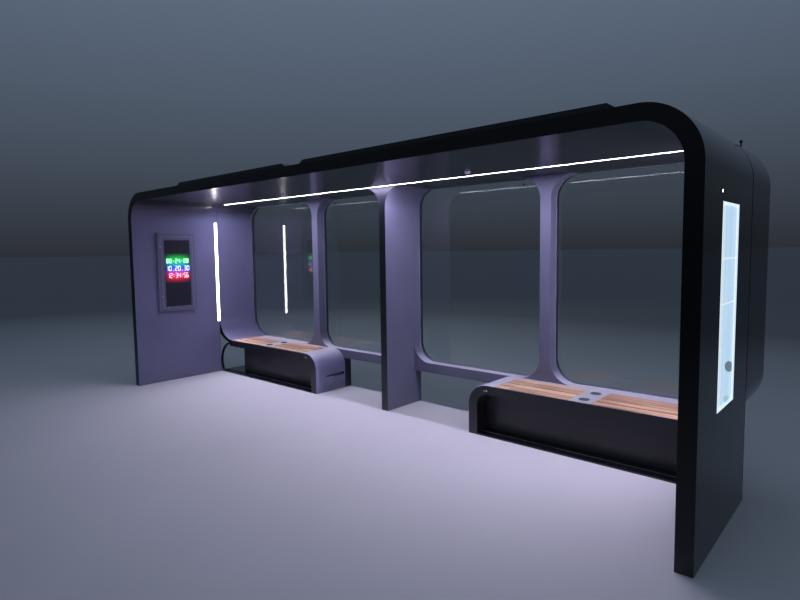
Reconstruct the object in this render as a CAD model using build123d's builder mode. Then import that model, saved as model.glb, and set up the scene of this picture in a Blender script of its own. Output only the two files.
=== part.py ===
"""A lit bus shelter: a folded metal ring with two benches and a glazed back.

Millimetres, +Z up. The origin is on the floor, under the middle of the shelter.
X runs along the shelter, -Y is the open front and +Y the glazed back.
"""
import os
from math import cos, radians, sin, sqrt

from build123d import *

os.makedirs("parts", exist_ok=True)

# Overall shell
LENGTH = 6744
DEPTH = 1848
HEIGHT = 2500
SHELL_THICKNESS = 96
OUTER_RADIUS = 335
PORTAL_DEPTH = 1204

# Benches
SEAT_TOP = 480
SEAT_SHELL = 36
SEAT_RADIUS = 300
BENCH_END = 1116
END_RADIUS = 195
END_ROUND = 8
LEG_SHELL = 96
DECK_DEPTH = 88
BEAM_SETBACK = 9
BEAM_PAST_CURVE = 64
BOX_SETBACK = 170
BOX_END_GAP = 352
PLINTH_DEPTH = 102
TRAY_THICKNESS = 25
TRAY_LIP = 14
TRAY_LIP_WIDTH = 74
RETURN_RADIUS = 288
RETURN_BAR = 25
RETURN_RISE = 162
RETURN_FROM_WALL = 284
END_SLOT_FRONT_MARGIN = 156
END_SLOT_REAR_MARGIN = 22
END_SLOT_HEIGHT = 35
END_SLOT_DEPTH = 40
END_SLOT_RISE = 190

# Seat slats and charging plate
SLAT_COUNT = 4
SLAT_GAP = 7
SLAT_THICKNESS = 16
SLAT_POCKET = 14
SLAT_LIP = 4
SLAT_REAR_MARGIN = 38
SLAT_END_MARGIN = 85
SLAT_CLEARANCE = 2
PLATE_LENGTH = 190
PLATE_SHIFT = 158
PAD_RADIUS = 45
PAD_PITCH_SHARE = 0.55
PAD_THICKNESS = 3

# Back frame
FRAME_DEPTH = 166
SILL_HEIGHT = 105
MULLION_X = 1652
MULLION_WIDTH = 107
MULLION_FLARE = 210
SILL_FLARE = 215
FIN_THICKNESS = 88
FIN_SETBACK = 26
FIN_FOOT_BACK = 47
FIN_FLARE = 202
GLASS_THICKNESS = 12
GLASS_REVEAL = 112
FIT = 0.3

# Lights
LIGHT_WIDTH = 26
LIGHT_DEPTH = 14
LIGHT_CLEARANCE = 1
CEILING_LIGHT_MARGIN = 27
WALL_LIGHT_RISE = 265
WALL_LIGHT_DROP = 5

# Display cabinet on the left wall
DISPLAY_FROM_FRONT = 311
DISPLAY_WIDTH = 531
DISPLAY_DROP = 157
DISPLAY_HEIGHT = 1055
DISPLAY_BODY = 33
DISPLAY_DOOR = 12
DISPLAY_RIM = 2
SCREEN_WIDTH = 360
SCREEN_RISE = 64
SCREEN_DROP = 97
SCREEN_THICKNESS = 8

# Light box in the right wall
POSTER_FROM_FRONT = 400
POSTER_WIDTH = 412
POSTER_DROP = 180
POSTER_HEIGHT = 1196
POSTER_RECESS = 60
POSTER_RIM = 14
POSTER_PANEL = 6

# Roof and ceiling fittings
TRAY_RISE = 45
TRAY_BEVEL = 70
TRAY_FROM_FRONT = 60
TRAY_DEPTH = 1000
TRAY_GAP = 80
LEFT_TRAY_END = 2160
RIGHT_TRAY_END = 2919
SENSOR_X = 1300
SENSOR_FROM_FRONT = 935
SENSOR_RADIUS = 24
SENSOR_DROP = 22
SENSOR_BEVEL = 9
ANTENNA_BEHIND_SEAM = 272
ANTENNA_ANGLE = 52
ANTENNA_RADIUS = 5
ANTENNA_RISE = 46
KNOB_RADIUS = 10
KNOB_HEIGHT = 18
KNOB_BEVEL = 4

# Places worked out from the sizes above
HALF = LENGTH / 2
FRONT = -DEPTH / 2
BACK = DEPTH / 2
SEAM = FRONT + PORTAL_DEPTH
RING_DEPTH = BACK - SEAM
INNER = HALF - SHELL_THICKNESS
INNER_RADIUS = OUTER_RADIUS - SHELL_THICKNESS
CEILING = HEIGHT - SHELL_THICKNESS
CORNER_X = HALF - OUTER_RADIUS
CORNER_Z = HEIGHT - OUTER_RADIUS
FRAME_FRONT = BACK - FRAME_DEPTH
BENCH_DEPTH = FRAME_FRONT - SEAM
SEAT_UNDER = SEAT_TOP - SEAT_SHELL
DECK_UNDER = SEAT_TOP - DECK_DEPTH
CURVE_X = INNER - SEAT_RADIUS
CURVE_Z = SEAT_TOP + SEAT_RADIUS
UNDER_X_RADIUS = SEAT_RADIUS + SHELL_THICKNESS
UNDER_Z_RADIUS = SEAT_RADIUS + SEAT_SHELL
BEAM_END = CURVE_X + BEAM_PAST_CURVE
END_X = BENCH_END + END_RADIUS
END_Z = SEAT_TOP - END_RADIUS
LEG_INNER = BENCH_END + LEG_SHELL
LEG_X_RADIUS = END_RADIUS - LEG_SHELL
LEG_Z_RADIUS = END_RADIUS - DECK_DEPTH
BOX_END = INNER - BOX_END_GAP
RETURN_X = INNER - RETURN_FROM_WALL
TRAY_END = RETURN_X + sqrt(RETURN_RADIUS**2 - (RETURN_RISE - TRAY_THICKNESS) ** 2)
END_SLOT_LENGTH = BENCH_DEPTH - END_SLOT_FRONT_MARGIN - END_SLOT_REAR_MARGIN
SILL_BOTTOM = SEAT_TOP - SILL_HEIGHT
GLASS_FRONT = FRAME_FRONT + GLASS_REVEAL
LIGHT_Y = SEAM - LIGHT_WIDTH / 2
WALL_LIGHT_BOTTOM = SEAT_TOP + WALL_LIGHT_RISE
WALL_LIGHT_TOP = CORNER_Z - WALL_LIGHT_DROP


def save(piece, name):
    """Label a finished piece and write it as its own file."""
    piece.part.label = name
    export_step(piece.part, f"parts/{name}.step")


def save_pair(right, name):
    """Write the right-hand piece, and its mirror image as the left-hand one."""
    save(right, f"right_{name}")
    with BuildPart() as left:
        mirror(right.part, about=Plane.YZ)
    save(left, f"left_{name}")


def facing_front(y):
    """The upright plane at depth y, drawn with X to the right and Z up."""
    return Plane.XZ.offset(-y)


def draw_box(across_low, across_high, up_low, up_high):
    """Draw a rectangle from its lowest and highest places across and up the sketch."""
    with Locations(((across_low + across_high) / 2, (up_low + up_high) / 2)):
        Rectangle(across_high - across_low, up_high - up_low)


def draw_flare(x, z, radius, along, upward):
    """Draw the hollow corner where a post at x turns into a surface at z."""
    with Locations((x + along * radius / 2, z + upward * radius / 2)):
        Rectangle(radius, radius)
    with Locations((x + along * radius, z + upward * radius)):
        Circle(radius, mode=Mode.SUBTRACT)


# Side walls of the front portal, which stand on the ground, each with a rebate for its light
REBATE_FRONT = SEAM - LIGHT_WIDTH - LIGHT_CLEARANCE

with BuildPart() as side_wall:
    with BuildSketch():
        draw_box(INNER, HALF, FRONT, SEAM)
    extrude(amount=CORNER_Z)
    with BuildSketch(Plane.YZ.offset(INNER)):
        draw_box(
            REBATE_FRONT,
            SEAM,
            WALL_LIGHT_BOTTOM - LIGHT_CLEARANCE,
            WALL_LIGHT_TOP + LIGHT_CLEARANCE,
        )
    extrude(amount=LIGHT_DEPTH, mode=Mode.SUBTRACT)

with BuildPart() as left_side_wall:
    mirror(side_wall.part, about=Plane.YZ)
save(left_side_wall, "left_side_wall")

POSTER_Y = FRONT + POSTER_FROM_FRONT + POSTER_WIDTH / 2
POSTER_Z = CORNER_Z - POSTER_DROP - POSTER_HEIGHT / 2

with BuildPart() as right_side_wall:
    add(side_wall.part)
    with BuildSketch(Plane.YZ.offset(HALF)):
        with Locations((POSTER_Y, POSTER_Z)):
            Rectangle(POSTER_WIDTH, POSTER_HEIGHT)
    extrude(amount=-POSTER_RECESS, mode=Mode.SUBTRACT)
save(right_side_wall, "right_side_wall")


def ring_corner(y, depth):
    """Build the rounded upper right corner of the shell, starting at depth y."""
    with BuildPart() as corner:
        with BuildSketch(facing_front(y)):
            with Locations((CORNER_X, CORNER_Z)):
                Circle(OUTER_RADIUS)
                Circle(INNER_RADIUS, mode=Mode.SUBTRACT)
                Rectangle(
                    OUTER_RADIUS,
                    OUTER_RADIUS,
                    align=(Align.MIN, Align.MIN),
                    mode=Mode.INTERSECT,
                )
        extrude(amount=-depth)
    return corner


def roof_panel(y, depth):
    """Build the flat part of the roof between the corners, starting at depth y."""
    with BuildPart() as roof:
        with BuildSketch(facing_front(y)):
            draw_box(-CORNER_X, CORNER_X, CEILING, HEIGHT)
        extrude(amount=-depth)
    return roof


# Corners and roof of the front portal, whose ceiling has the same rebate
LIGHT_HALF = CORNER_X - CEILING_LIGHT_MARGIN

save_pair(ring_corner(FRONT, PORTAL_DEPTH), "front_corner")

with BuildPart() as front_roof:
    add(roof_panel(FRONT, PORTAL_DEPTH).part)
    with BuildSketch(Plane.XY.offset(CEILING)):
        draw_box(
            -LIGHT_HALF - LIGHT_CLEARANCE,
            LIGHT_HALF + LIGHT_CLEARANCE,
            REBATE_FRONT,
            SEAM,
        )
    extrude(amount=LIGHT_DEPTH, mode=Mode.SUBTRACT)
save(front_roof, "front_roof")

# Rear ring: sides, corners and roof, which never reach the ground
with BuildPart() as rear_side:
    with BuildSketch(Plane.XY.offset(CURVE_Z)):
        draw_box(INNER, HALF, SEAM, BACK)
    extrude(amount=CORNER_Z - CURVE_Z)
save_pair(rear_side, "rear_side")
save_pair(ring_corner(SEAM, RING_DEPTH), "rear_corner")
save(roof_panel(SEAM, RING_DEPTH), "rear_roof")

# The side sweeps inward and turns into the seat, thinning as it goes
with BuildPart() as seat_curve:
    with BuildSketch(facing_front(SEAM)):
        with Locations((CURVE_X, CURVE_Z)):
            Ellipse(UNDER_X_RADIUS, UNDER_Z_RADIUS)
            Circle(SEAT_RADIUS, mode=Mode.SUBTRACT)
            Rectangle(
                UNDER_X_RADIUS,
                UNDER_Z_RADIUS,
                align=(Align.MIN, Align.MAX),
                mode=Mode.INTERSECT,
            )
    extrude(amount=-RING_DEPTH)
save_pair(seat_curve, "seat_curve")

# Seat deck: a skin with a pocket for the slats behind a thin lip, on a beam set back from its edge
SLATS_FRONT = SEAM + SLAT_LIP + SLAT_CLEARANCE
SLATS_DEPTH = FRAME_FRONT - SLAT_REAR_MARGIN - SLATS_FRONT
SLAT_PITCH = (SLATS_DEPTH + SLAT_GAP) / SLAT_COUNT
SLAT_WIDTH = SLAT_PITCH - SLAT_GAP
SLAT_FLOOR = SEAT_TOP - SLAT_POCKET
PLATE_X = (BENCH_END + CURVE_X) / 2 + PLATE_SHIFT
PLATE_LOW = PLATE_X - PLATE_LENGTH / 2
PLATE_HIGH = PLATE_X + PLATE_LENGTH / 2
SLAT_GROUPS = (
    (END_X + SLAT_END_MARGIN, PLATE_LOW),
    (PLATE_HIGH, CURVE_X - SLAT_CLEARANCE),
)

with BuildPart() as seat_deck:
    with BuildSketch(facing_front(SEAM)):
        draw_box(END_X, CURVE_X, SEAT_UNDER, SEAT_TOP)
    extrude(amount=-BENCH_DEPTH)
    with BuildSketch(facing_front(SEAM + BEAM_SETBACK)):
        draw_box(CURVE_X, BEAM_END, DECK_UNDER, SEAT_TOP)
        with Locations((CURVE_X, CURVE_Z)):
            Ellipse(UNDER_X_RADIUS + FIT, UNDER_Z_RADIUS + FIT, mode=Mode.SUBTRACT)
        draw_box(END_X, CURVE_X, DECK_UNDER, SEAT_UNDER)
    extrude(amount=-(BENCH_DEPTH - BEAM_SETBACK))
    with BuildSketch(Plane.XY.offset(SEAT_TOP)):
        draw_box(
            END_X + SLAT_END_MARGIN - SLAT_CLEARANCE,
            CURVE_X,
            SEAM + SLAT_LIP,
            SLATS_FRONT + SLATS_DEPTH + SLAT_CLEARANCE,
        )
    extrude(amount=-SLAT_POCKET, mode=Mode.SUBTRACT)
save_pair(seat_deck, "seat_deck")

# Timber slats in two groups, laid along the bench
with BuildPart() as bench_slats:
    for low, high in SLAT_GROUPS:
        with BuildSketch(Plane.XY.offset(SLAT_FLOOR)):
            with Locations(((low + high) / 2, SLATS_FRONT + SLATS_DEPTH / 2)):
                with GridLocations(0, SLAT_PITCH, 1, SLAT_COUNT):
                    Rectangle(high - low, SLAT_WIDTH)
        extrude(amount=SLAT_THICKNESS)
save_pair(bench_slats, "bench_slats")

# Metal plate between the slat groups, and its round charging pads
with BuildPart() as charge_plate:
    with BuildSketch(Plane.XY.offset(SLAT_FLOOR)):
        draw_box(
            PLATE_LOW + SLAT_CLEARANCE,
            PLATE_HIGH - SLAT_CLEARANCE,
            SLATS_FRONT,
            SLATS_FRONT + SLATS_DEPTH,
        )
    extrude(amount=SLAT_THICKNESS)
save_pair(charge_plate, "charge_plate")

PADS_Y = SLATS_FRONT + SLATS_DEPTH / 2

with BuildPart() as charge_pads:
    with BuildSketch(Plane.XY.offset(SLAT_FLOOR + SLAT_THICKNESS)):
        with Locations((-PLATE_X, PADS_Y), (PLATE_X, PADS_Y)):
            with GridLocations(0, PAD_PITCH_SHARE * SLATS_DEPTH, 1, 2):
                Circle(PAD_RADIUS)
    extrude(amount=PAD_THICKNESS)
save(charge_pads, "charge_pads")

# Bench end: the seat rolls over and runs down to the ground, with its outer front edge rounded
with BuildPart() as bench_end:
    with BuildSketch(facing_front(SEAM)):
        with Locations((END_X, END_Z)):
            Circle(END_RADIUS)
            Ellipse(LEG_X_RADIUS, LEG_Z_RADIUS, mode=Mode.SUBTRACT)
            Rectangle(
                END_RADIUS,
                END_RADIUS,
                align=(Align.MAX, Align.MIN),
                mode=Mode.INTERSECT,
            )
        draw_box(BENCH_END, LEG_INNER, 0, END_Z)
    extrude(amount=-BENCH_DEPTH)
    with BuildSketch(Plane.YZ.offset(BENCH_END)):
        with Locations((SEAM + END_SLOT_FRONT_MARGIN + END_SLOT_LENGTH / 2, END_SLOT_RISE)):
            SlotOverall(END_SLOT_LENGTH, END_SLOT_HEIGHT)
    extrude(amount=END_SLOT_DEPTH, mode=Mode.SUBTRACT)
    longest_front_edges = bench_end.edges().group_by(Axis.Y)[0].sort_by(SortBy.LENGTH)[-3:]
    fillet(longest_front_edges.sort_by(Axis.X)[:2], END_ROUND)
save_pair(bench_end, "bench_end")

# Floor tray under the bench, with a lower lip along its front up to the curved bar
LIP_END = TRAY_END - 2 * RETURN_BAR

with BuildPart() as bench_tray:
    with BuildSketch():
        draw_box(LEG_INNER, TRAY_END, SEAM, FRAME_FRONT)
    extrude(amount=TRAY_THICKNESS)
    with BuildSketch(Plane.XY.offset(TRAY_THICKNESS)):
        draw_box(LEG_INNER, LIP_END, SEAM, SEAM + TRAY_LIP_WIDTH)
    extrude(amount=TRAY_LIP - TRAY_THICKNESS, mode=Mode.SUBTRACT)
save_pair(bench_tray, "bench_tray")

# Curved square bar at the outer end of the bench, from the tray up to the seat
with BuildPart() as bench_return:
    with BuildSketch(facing_front(SEAM)):
        with Locations((RETURN_X, RETURN_RISE)):
            Circle(RETURN_RADIUS)
            Circle(RETURN_RADIUS - RETURN_BAR, mode=Mode.SUBTRACT)
        with Locations((BEAM_END + FIT, TRAY_THICKNESS)):
            Rectangle(
                RETURN_RADIUS,
                SEAT_TOP,
                align=(Align.MIN, Align.MIN),
                mode=Mode.INTERSECT,
            )
        with Locations((CURVE_X, CURVE_Z)):
            Ellipse(UNDER_X_RADIUS + FIT, UNDER_Z_RADIUS + FIT, mode=Mode.SUBTRACT)
    extrude(amount=-RETURN_BAR)
save_pair(bench_return, "bench_return")

# Closed box under the seat, rounded beside the leg, with a plinth that carries the back rail
with BuildPart() as bench_box:
    with BuildSketch(facing_front(SEAM + BOX_SETBACK)):
        draw_box(LEG_INNER, BOX_END, TRAY_THICKNESS, DECK_UNDER)
    extrude(amount=-(BENCH_DEPTH - BOX_SETBACK))
    with BuildSketch():
        draw_box(BENCH_END, BOX_END, FRAME_FRONT, FRAME_FRONT + PLINTH_DEPTH)
    extrude(amount=SILL_BOTTOM)
    with BuildSketch(facing_front(SEAM + BOX_SETBACK)):
        with Locations((END_X, END_Z)):
            Rectangle(LEG_X_RADIUS, LEG_Z_RADIUS, align=(Align.MAX, Align.MIN))
            Ellipse(LEG_X_RADIUS - FIT, LEG_Z_RADIUS - FIT, mode=Mode.SUBTRACT)
    extrude(amount=-(BENCH_DEPTH - BOX_SETBACK), mode=Mode.SUBTRACT)
save_pair(bench_box, "bench_box")

# Back rail under the windows, turned up where it meets the fin
FIN_FACE = FIN_THICKNESS / 2

with BuildPart() as sill_rail:
    with BuildSketch(facing_front(FRAME_FRONT)):
        draw_box(FIN_FACE, CURVE_X, SILL_BOTTOM, SEAT_TOP)
        draw_flare(FIN_FACE, SEAT_TOP, SILL_FLARE, 1, 1)
    extrude(amount=-FRAME_DEPTH)
save_pair(sill_rail, "sill_rail")

# Window post, flared into the rail below and the ceiling above
MULLION_LOW = MULLION_X - MULLION_WIDTH / 2
MULLION_HIGH = MULLION_X + MULLION_WIDTH / 2

with BuildPart() as mullion:
    with BuildSketch(facing_front(FRAME_FRONT)):
        draw_box(MULLION_LOW, MULLION_HIGH, SEAT_TOP, CEILING)
        for face, along in ((MULLION_LOW, -1), (MULLION_HIGH, 1)):
            draw_flare(face, SEAT_TOP, SILL_FLARE, along, 1)
            draw_flare(face, CEILING, MULLION_FLARE, along, -1)
    extrude(amount=-FRAME_DEPTH)
save_pair(mullion, "mullion")

# Centre fin, from the ground to the ceiling
FIN_FRONT = SEAM + FIN_SETBACK
FIN_FOOT = BACK - FIN_FOOT_BACK

with BuildPart() as centre_fin:
    with BuildSketch(Plane.YZ.offset(-FIN_FACE)):
        draw_box(FIN_FRONT, BACK, SILL_BOTTOM, CEILING)
        draw_box(FIN_FRONT, FIN_FOOT, 0, SILL_BOTTOM)
    extrude(amount=FIN_THICKNESS)
    with BuildSketch(facing_front(FIN_FRONT)):
        for along in (-1, 1):
            draw_flare(along * FIN_FACE, CEILING, FIN_FLARE, along, -1)
    extrude(amount=-(BACK - FIN_FRONT))
save(centre_fin, "centre_fin")


def glass_pane(x_low, x_high, low_radii, high_radii):
    """Build one pane; each pair of radii is for its lower and its upper corner."""
    with BuildPart() as pane:
        with BuildSketch(facing_front(GLASS_FRONT)) as outline:
            draw_box(x_low + FIT, x_high - FIT, SEAT_TOP + FIT, CEILING - FIT)
            for column, radii in ((0, low_radii), (-1, high_radii)):
                for row, radius in enumerate(radii):
                    edge = outline.vertices().group_by(Axis.X)[column]
                    fillet(edge.sort_by(Axis.Y)[-row], radius - FIT)
        extrude(amount=-GLASS_THICKNESS)
    return pane


# Glass of the back wall, two panes to each side of the fin
save_pair(
    glass_pane(FIN_FACE, MULLION_LOW, (SILL_FLARE, FIN_FLARE), (SILL_FLARE, MULLION_FLARE)),
    "inner_glass",
)
save_pair(
    glass_pane(MULLION_HIGH, INNER, (SILL_FLARE, MULLION_FLARE), (SEAT_RADIUS, INNER_RADIUS)),
    "outer_glass",
)

# Light strips in the rebates of the ceiling and of both walls
with BuildPart() as ceiling_light:
    with BuildSketch(Plane.XY.offset(CEILING)):
        with Locations((0, LIGHT_Y)):
            Rectangle(2 * LIGHT_HALF, LIGHT_WIDTH)
    extrude(amount=LIGHT_DEPTH)
save(ceiling_light, "ceiling_light")

with BuildPart() as wall_light:
    with BuildSketch(Plane.YZ.offset(INNER)):
        draw_box(
            LIGHT_Y - LIGHT_WIDTH / 2,
            LIGHT_Y + LIGHT_WIDTH / 2,
            WALL_LIGHT_BOTTOM,
            WALL_LIGHT_TOP,
        )
    extrude(amount=LIGHT_DEPTH)
save_pair(wall_light, "wall_light")

# Display cabinet: housing, door frame and screen, on the left wall
DISPLAY_Y = FRONT + DISPLAY_FROM_FRONT + DISPLAY_WIDTH / 2
DISPLAY_Z = CORNER_Z - DISPLAY_DROP - DISPLAY_HEIGHT / 2
SCREEN_HEIGHT = DISPLAY_HEIGHT - SCREEN_RISE - SCREEN_DROP
SCREEN_Z = DISPLAY_Z + (SCREEN_RISE - SCREEN_DROP) / 2
DOOR_X = DISPLAY_BODY - INNER

with BuildPart() as display_housing:
    with BuildSketch(Plane.YZ.offset(-INNER)):
        with Locations((DISPLAY_Y, DISPLAY_Z)):
            Rectangle(DISPLAY_WIDTH, DISPLAY_HEIGHT)
    extrude(amount=DISPLAY_BODY)
save(display_housing, "display_housing")

with BuildPart() as display_door:
    with BuildSketch(Plane.YZ.offset(DOOR_X)):
        with Locations((DISPLAY_Y, DISPLAY_Z)):
            Rectangle(DISPLAY_WIDTH - 2 * DISPLAY_RIM, DISPLAY_HEIGHT - 2 * DISPLAY_RIM)
        with Locations((DISPLAY_Y, SCREEN_Z)):
            Rectangle(SCREEN_WIDTH, SCREEN_HEIGHT, mode=Mode.SUBTRACT)
    extrude(amount=DISPLAY_DOOR)
save(display_door, "display_door")

with BuildPart() as display_screen:
    with BuildSketch(Plane.YZ.offset(DOOR_X)):
        with Locations((DISPLAY_Y, SCREEN_Z)):
            Rectangle(SCREEN_WIDTH - 2 * FIT, SCREEN_HEIGHT - 2 * FIT)
    extrude(amount=SCREEN_THICKNESS)
save(display_screen, "display_screen")

# Light box: rim and diffuser, in the recess of the right wall
POSTER_FLOOR = HALF - POSTER_RECESS

with BuildPart() as poster_frame:
    with BuildSketch(Plane.YZ.offset(POSTER_FLOOR)):
        with Locations((POSTER_Y, POSTER_Z)):
            Rectangle(POSTER_WIDTH - 2 * FIT, POSTER_HEIGHT - 2 * FIT)
            Rectangle(
                POSTER_WIDTH - 2 * POSTER_RIM,
                POSTER_HEIGHT - 2 * POSTER_RIM,
                mode=Mode.SUBTRACT,
            )
    extrude(amount=POSTER_RECESS)
save(poster_frame, "poster_frame")

with BuildPart() as poster_panel:
    with BuildSketch(Plane.YZ.offset(POSTER_FLOOR)):
        with Locations((POSTER_Y, POSTER_Z)):
            Rectangle(
                POSTER_WIDTH - 2 * (POSTER_RIM + FIT),
                POSTER_HEIGHT - 2 * (POSTER_RIM + FIT),
            )
    extrude(amount=POSTER_RECESS - POSTER_PANEL)
save(poster_panel, "poster_panel")


def roof_tray(x_low, x_high):
    """Build a low tray with sloping ends, on the roof between two places."""
    with BuildPart() as tray:
        with BuildSketch(facing_front(FRONT + TRAY_FROM_FRONT)):
            with BuildLine():
                Polyline(
                    (x_low, HEIGHT),
                    (x_high, HEIGHT),
                    (x_high - TRAY_BEVEL, HEIGHT + TRAY_RISE),
                    (x_low + TRAY_BEVEL, HEIGHT + TRAY_RISE),
                    close=True,
                )
            make_face()
        extrude(amount=-TRAY_DEPTH)
    return tray


# Solar trays, a short one on the left and a long one on the right
save(roof_tray(-LEFT_TRAY_END, -TRAY_GAP), "left_roof_tray")
save(roof_tray(TRAY_GAP, RIGHT_TRAY_END), "right_roof_tray")

# Sensor covers under the ceiling
with BuildPart() as ceiling_sensors:
    with BuildSketch(Plane.XY.offset(CEILING)):
        with Locations((-SENSOR_X, FRONT + SENSOR_FROM_FRONT), (SENSOR_X, FRONT + SENSOR_FROM_FRONT)):
            Circle(SENSOR_RADIUS)
    extrude(amount=-SENSOR_DROP)
    chamfer(ceiling_sensors.edges().group_by(Axis.Z)[0], SENSOR_BEVEL)
save(ceiling_sensors, "ceiling_sensors")

# Short antenna with a knob, which stands on the curve of the rear ring's right corner
ANTENNA_X = CORNER_X + OUTER_RADIUS * cos(radians(ANTENNA_ANGLE))
ANTENNA_Y = SEAM + ANTENNA_BEHIND_SEAM
ANTENNA_TOP = CORNER_Z + OUTER_RADIUS * sin(radians(ANTENNA_ANGLE)) + ANTENNA_RISE

with BuildPart() as roof_antenna:
    with BuildSketch(Plane.XY.offset(CORNER_Z)):
        with Locations((ANTENNA_X, ANTENNA_Y)):
            Circle(ANTENNA_RADIUS)
    extrude(amount=ANTENNA_TOP - CORNER_Z)
    with BuildSketch(facing_front(SEAM)):
        with Locations((CORNER_X, CORNER_Z)):
            Circle(OUTER_RADIUS)
    extrude(amount=-RING_DEPTH, mode=Mode.SUBTRACT)
    with BuildSketch(Plane.XY.offset(ANTENNA_TOP)):
        with Locations((ANTENNA_X, ANTENNA_Y)):
            Circle(KNOB_RADIUS)
    extrude(amount=-KNOB_HEIGHT)
    chamfer(roof_antenna.edges().group_by(Axis.Z)[-1], KNOB_BEVEL)
save(roof_antenna, "roof_antenna")
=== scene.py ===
# %% [markdown]
# This lesson dresses a bus shelter: a ring of folded metal with rounded corners, two benches
# that grow out of its sides, a centre fin and a glazed back. The solid model gives every piece
# its place and its size. Here the pieces get their finishes, the timber gets its rounded boards,
# and the small things are added that a solid model leaves out. Everything is in metres, with X
# along the shelter, +Y towards the glazed back and +Z up.

# %% Load the solid model
from math import radians

import bpy
import numpy as np
from mathutils import Matrix, Vector


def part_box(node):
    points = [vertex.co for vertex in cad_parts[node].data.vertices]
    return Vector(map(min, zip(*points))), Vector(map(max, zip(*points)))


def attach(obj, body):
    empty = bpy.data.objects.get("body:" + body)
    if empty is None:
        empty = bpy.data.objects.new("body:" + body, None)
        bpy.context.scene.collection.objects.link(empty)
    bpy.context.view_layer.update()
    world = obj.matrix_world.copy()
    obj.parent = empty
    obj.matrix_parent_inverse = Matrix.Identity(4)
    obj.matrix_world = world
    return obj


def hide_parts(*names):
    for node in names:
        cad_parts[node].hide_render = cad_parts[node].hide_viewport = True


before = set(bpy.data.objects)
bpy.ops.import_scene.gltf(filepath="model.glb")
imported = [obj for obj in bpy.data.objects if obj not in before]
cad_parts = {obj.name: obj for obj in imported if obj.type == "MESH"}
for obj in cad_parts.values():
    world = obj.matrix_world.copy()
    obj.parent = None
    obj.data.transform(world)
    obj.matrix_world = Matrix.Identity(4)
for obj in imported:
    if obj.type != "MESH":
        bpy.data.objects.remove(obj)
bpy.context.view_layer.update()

# %% [markdown]
# Many places below come from the boxes of the solid pieces, so they are read once, here. The
# seam is the joint between the front ring, which stands on the ground, and the rear ring, whose
# sides turn into the seats.

# %% Places that the finishes and the new pieces share
SEAM_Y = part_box("front_roof")[1].y
CEILING_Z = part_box("front_roof")[0].z
ROOF_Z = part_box("front_roof")[1].z
OUTER_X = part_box("right_side_wall")[1].x
INNER_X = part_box("right_side_wall")[0].x
SEAT_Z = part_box("right_seat_deck")[1].z
print(f"seam at y = {SEAM_Y:.3f}, ceiling at z = {CEILING_Z:.3f}, seat at z = {SEAT_Z:.3f}")

# %% [markdown]
# The camera stands in front of the right end, at eye height, and looks across the open front
# towards the far end and slightly down. Its direction is written as three turns, and the matrix
# is put together from the view direction, the direction to the right and the direction up.

# %% Set up the camera
EYE = Vector((4.1126, -4.0411, 1.7410))
TURN_LEFT = 0.7329
TILT_UP = -0.0781
ROLL = -0.0135
LENS = 25.207
SHIFT = (0.0038, -0.0079)


def look_matrix(turn, tilt, roll):
    """Columns are the camera's right, up and backward directions for three turns in radians."""
    forward = Vector((-np.sin(turn) * np.cos(tilt), np.cos(turn) * np.cos(tilt), np.sin(tilt)))
    level = Vector((np.cos(turn), np.sin(turn), 0.0))
    upright = level.cross(forward)
    right = np.cos(roll) * level + np.sin(roll) * upright
    up = np.cos(roll) * upright - np.sin(roll) * level
    return Matrix((right, up, -forward)).transposed().to_4x4()


def into_scene(name, data):
    """Make an object that holds this data, put it in the scene and return it."""
    made = bpy.data.objects.new(name, data)
    bpy.context.scene.collection.objects.link(made)
    return made


camera_data = bpy.data.cameras.new("camera")
camera_data.lens = LENS
camera_data.shift_x, camera_data.shift_y = SHIFT
camera = into_scene("camera", camera_data)
camera.matrix_world = Matrix.Translation(EYE) @ look_matrix(TURN_LEFT, TILT_UP, ROLL)
bpy.context.scene.camera = camera
print(f"camera at {tuple(round(v, 2) for v in EYE)} with a {LENS} mm lens")

# %% [markdown]
# A surface here is a grid of points worked out as whole arrays. One helper numbers the faces of
# such a grid, which may close round on itself in one or both directions, and another makes the
# mesh from arrays. Corners sharper than 35 degrees stay crisp and the rest is shaded smooth.

# %% Helpers that turn arrays into meshes
CREASE = radians(35)


def grid_faces(rows, columns, wrap_rows=False, wrap_columns=False):
    """Four-sided faces of a grid of rows by columns of points, row after row."""
    row = np.arange(rows if wrap_rows else rows - 1)[:, None]
    column = np.arange(columns if wrap_columns else columns - 1)[None, :]
    next_row, next_column = (row + 1) % rows, (column + 1) % columns
    corners = (
        row * columns + column,
        row * columns + next_column,
        next_row * columns + next_column,
        next_row * columns + column,
    )
    return np.stack(corners, -1).reshape(-1, 4)


def make_piece(name, points, faces, finish, slot):
    """Make an object from points and faces, give it its finish and let it ride on the shelter."""
    mesh = bpy.data.meshes.new(name)
    mesh.from_pydata(np.asarray(points, float).reshape(-1, 3).tolist(), [], faces)
    mesh.polygons.foreach_set("use_smooth", np.ones(len(mesh.polygons), bool))
    mesh.set_sharp_from_angle(angle=CREASE)
    mesh.materials.append(finish)
    mesh.validate()
    piece = into_scene(name, mesh)
    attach(piece, "root")
    print(f"{name}: {len(mesh.polygons)} faces")
    return piece


def join_parts(parts):
    """Put several (points, faces) pairs into one pair, with the face numbers moved along."""
    starts = np.cumsum([0] + [len(points) for points, _ in parts[:-1]])
    points = np.concatenate([points for points, _ in parts])
    faces = [tuple(int(i) + int(s) for i in f) for s, (_, part) in zip(starts, parts) for f in part]
    return points, faces


print("a grid of 3 by 4 points has", len(grid_faces(3, 4)), "faces")

# %% [markdown]
# A finish is a small network of shader nodes. A few helpers keep the networks short: one adds a
# node and fills or links its inputs, one does arithmetic, one blends two colours, and the rest
# stretch numbers, make noise and turn a height into a bump. Every pattern is laid out in the
# object's own coordinates, which here are metres in the shelter's frame, so the pattern of one
# piece runs on into the next.

# %% Helpers that build finishes


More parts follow.
